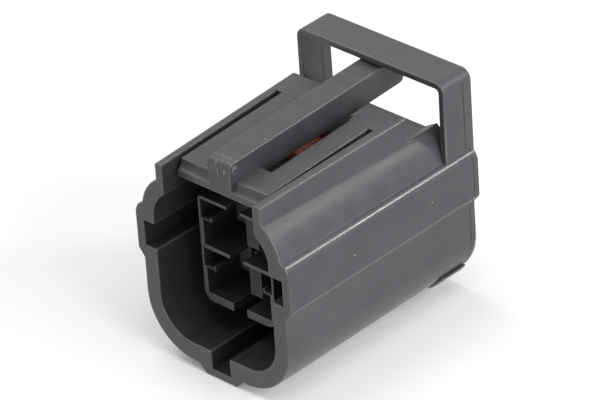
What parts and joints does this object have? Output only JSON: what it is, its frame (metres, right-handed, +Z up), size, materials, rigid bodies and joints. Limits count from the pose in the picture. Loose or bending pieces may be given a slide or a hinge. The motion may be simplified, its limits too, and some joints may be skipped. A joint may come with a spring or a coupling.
{
  "type": "sealed automotive connector",
  "caption": "Dark plastic sealed plug with a rounded keyed shroud, a see-saw latch arm under a guard loop, a recessed terminal tower, wire seals and a red ring seal.",
  "frame": {"origin": "centre of the bounding box, at the level of the flat foot", "axes": "+Y from the mating mouth to the wire side, +Z up towards the latch, X across; the mouth faces -Y"},
  "size_m": [0.0222, 0.03, 0.0281],
  "materials": {
    "housing_plastic": "fine matt moulded surface, slightly dusty",
    "retainer_plastic": "plain moulded",
    "red_silicone": "soft satin",
    "seal_silicone": "soft satin",
    "tinned_brass": "bright tin plate"
  },
  "bodies": {
    "plug": {"housing": "housing_plastic", "interface_seal": "red_silicone", "terminal_1": "tinned_brass", "terminal_2": "tinned_brass", "terminal_3": "tinned_brass", "terminal_4": "tinned_brass", "wire_seal_1": "seal_silicone", "wire_seal_2": "seal_silicone", "wire_seal_3": "seal_silicone", "wire_seal_4": "seal_silicone"},
    "latch_body": {"latch": "housing_plastic"},
    "retainer_body": {"retainer": "retainer_plastic"}
  },
  "joints": [
    {"name": "latch_tilt", "type": "hinge", "parent": "plug", "child": "latch_body", "pos_m": [0, 0.0033, 0.0242], "axis": [-1, 0, 0], "range_deg": [0, 4.5], "stiffness_Nm_per_rad": 0.05, "springref_deg": -5.73},
    {"name": "retainer_slide", "type": "slide", "parent": "plug", "child": "retainer_body", "axis": [0, -1, 0], "range_m": [0, 0.002]}
  ]
}
